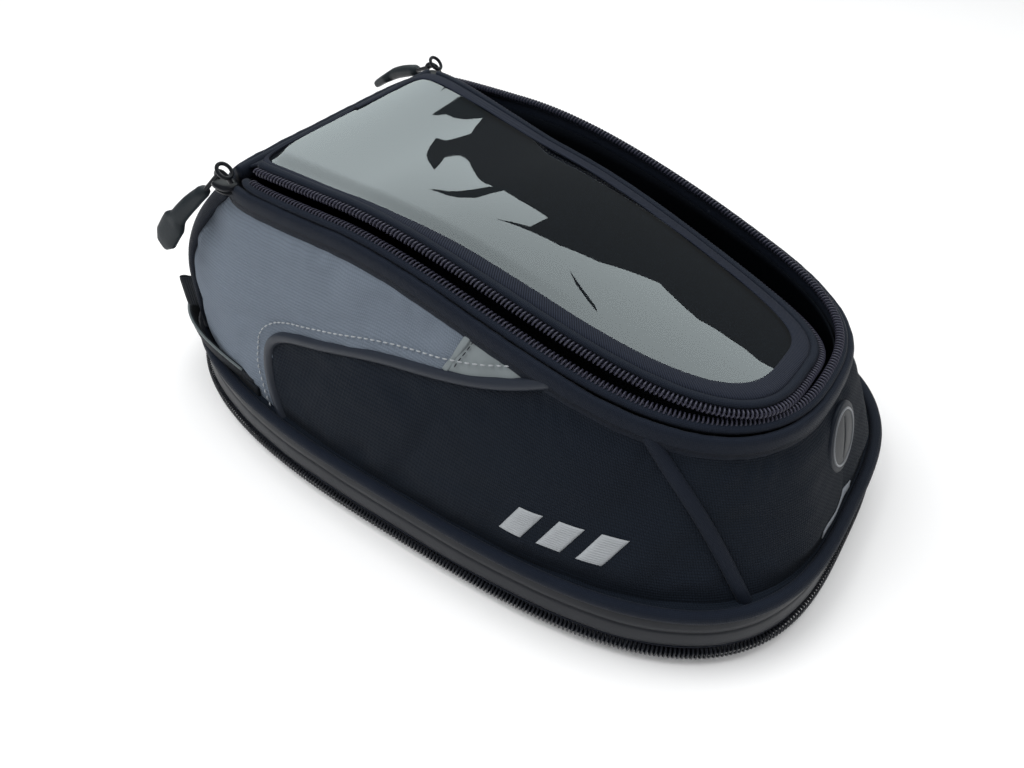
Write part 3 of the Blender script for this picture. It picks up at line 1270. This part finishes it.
def make_marks():
    a = np.linspace(-0.6, 0.6, 1600)
    p = wall_at(a, 37.0)
    first, last = np.interp([-29.0, 7.0], p[:, 1], a)
    t, z = np.meshgrid(np.linspace(first, last, 80), np.linspace(34.0, 38.4, 8), indexing="ij")
    points = wall_patch(t.ravel(), z.ravel(), 0.25)
    strip = make("reflective_tape", points, flipped(grid_faces(*t.shape)), REFLECTIVE,
                 "bag", replaces=["reflective_strip"], slot="reflective",
                 uvs=points[:, 1:])
    thicken(strip, 0.5, outward=True)
    parts = []
    for bar in range(3):
        start = 74.0 + 18.0 * bar
        s, rise = np.meshgrid(np.linspace(0, 1, 12), np.linspace(0, 1, 53), indexing="ij")
        gx = start + 11.0 * s + 7.0 * rise
        gz = 41.0 + 13.0 * rise
        flat = side_at(gx.ravel(), gz.ravel())
        normal = side_normal(gx.ravel(), gz.ravel())
        ridge = np.abs(np.sin(rise * 13 * math.pi)).ravel()
        dome_ = (1 - np.abs(2 * s.ravel() - 1) ** 4) * (1 - np.abs(2 * rise.ravel() - 1) ** 16)
        points = flat + normal * (wall_puff(flat) + 0.1 + dome_ * (0.55 + 0.35 * ridge))[:, None]
        parts.append((points, flipped(grid_faces(*s.shape)), uv_grid(gx, gz)))
    for thing in both_sides("badge", joined(parts), THREAD, ["mark"], "thread"):
        thicken(thing, 0.8)


# ------------------------------------------------------------------ stage

def make_stage():
    size = 3.0
    verts = [(-size, -size, 0), (size, -size, 0), (size, size, 0), (-size, size, 0)]
    mesh = bpy.data.meshes.new("floor")
    mesh.from_pydata(verts, [], [(0, 1, 2, 3)])
    floor = bpy.data.objects.new("floor", mesh)
    bpy.context.collection.objects.link(floor)
    floor.location.z = -0.0002
    paint = Look("floor_paint", (0.97, 0.975, 0.98), 0.9)
    paint.vary(paint.noise(4.0), 0.985, 1.0)
    mesh.materials.append(paint.material)
    world = bpy.data.worlds.new("studio")
    bpy.context.scene.world = world
    world.use_nodes = True
    tree = world.node_tree
    back = tree.nodes["Background"]
    back.inputs[0].default_value = (1, 1, 1, 1)
    ray = tree.nodes.new("ShaderNodeLightPath")
    level = tree.nodes.new("ShaderNodeMath")
    level.operation = "MULTIPLY_ADD"
    tree.links.new(ray.outputs["Is Glossy Ray"], level.inputs[0])
    level.inputs[1].default_value = -0.50
    level.inputs[2].default_value = 0.58
    tree.links.new(level.outputs[0], back.inputs[1])
    lamp("key", (-0.55, -0.45, 1.15), (0, 0, 0.06), 0.9, 9.0)
    lamp("top", (0.2, 0.35, 1.3), (0, 0, 0.05), 1.2, 8.0)
    card("softbox", CARD, 0.9, 1.9)
    card("softbox_gap", CARD_GAP, 0.88, 0.08)
    card("softbox_notch", CARD_NOTCH, 0.89, 0.08)
    bpy.context.scene.view_settings.view_transform = "Standard"


CARD = [(-0.80, 1.26), (-0.81, 1.34), (-0.742, 1.461), (-0.422, 1.376), (-0.276, 1.372),
        (-0.256, 1.204), (-0.353, 1.107), (-0.140, 1.227), (-0.045, 1.341), (0.052, 1.594),
        (0.121, 1.547), (0.130, 1.578), (0.3, 1.5), (0.5, 1.0), (0.5, 0.2), (-1.6, 0.2),
        (-1.9, 1.7), (-1.02, 1.32)]
CARD_GAP = [(-0.050, 1.095), (0.048, 1.030), (0.062, 1.004), (-0.010, 1.050)]
CARD_NOTCH = [(-0.71, 1.122), (-0.60, 1.165), (-0.535, 1.20), (-0.525, 1.42), (-0.61, 1.42),
              (-0.645, 1.30), (-0.665, 1.18)]


def card(name, outline, height, strength):
    """Flat light panel overhead that only shiny surfaces see."""
    mesh = bpy.data.meshes.new(name)
    mesh.from_pydata([(x, y, height) for x, y in outline], [], [tuple(range(len(outline)))])
    thing = bpy.data.objects.new(name, mesh)
    bpy.context.collection.objects.link(thing)
    material = bpy.data.materials.new(name)
    material.use_nodes = True
    nodes = material.node_tree.nodes
    glow = nodes.new("ShaderNodeEmission")
    glow.inputs[0].default_value = (0.93, 1.0, 1.0, 1)
    glow.inputs[1].default_value = strength
    material.node_tree.links.new(glow.outputs[0], nodes["Material Output"].inputs["Surface"])
    mesh.materials.append(material)
    thing.visible_camera = False
    thing.visible_diffuse = False
    thing.visible_shadow = False
    thing.visible_transmission = False


def lamp(name, spot, target, size, power):
    data = bpy.data.lights.new(name, "AREA")
    data.shape = "DISK"
    data.size = size
    data.energy = power
    thing = bpy.data.objects.new(name, data)
    thing.location = spot
    thing.rotation_euler = (Vector(target) - Vector(spot)).to_track_quat("-Z", "Y").to_euler()
    bpy.context.collection.objects.link(thing)
    thing.visible_glossy = False


def make_camera():
    """Camera above and ahead of the right side, turned a little about its own axis."""
    target = np.array([38.15, -48.36, 60.0])
    turn, rise = math.radians(34.14), math.radians(42.92)
    reach = 393.18
    away = np.array([math.sin(turn) * math.cos(rise), -math.cos(turn) * math.cos(rise),
                     math.sin(rise)])
    data = bpy.data.cameras.new("camera")
    data.lens = 806.13 / 1024 * 36.0
    data.sensor_width = 36.0
    thing = bpy.data.objects.new("camera", data)
    bpy.context.collection.objects.link(thing)
    forward = Vector(-away)
    view = forward.to_track_quat("-Z", "Y").to_matrix().to_4x4()
    thing.matrix_world = Matrix.Translation(Vector((target + away * reach) * MM)) @ view @ \
        Matrix.Rotation(math.radians(0.54), 4, "Z")
    bpy.context.scene.camera = thing


# ------------------------------------------------------------------ build

make_walls()
make_side_seams()
make_corners()
make_rim()
make_rim_zip()
make_base()
make_lining()
make_lid()
make_port()
make_hardware()
make_straps()
make_marks()
make_stage()
make_camera()
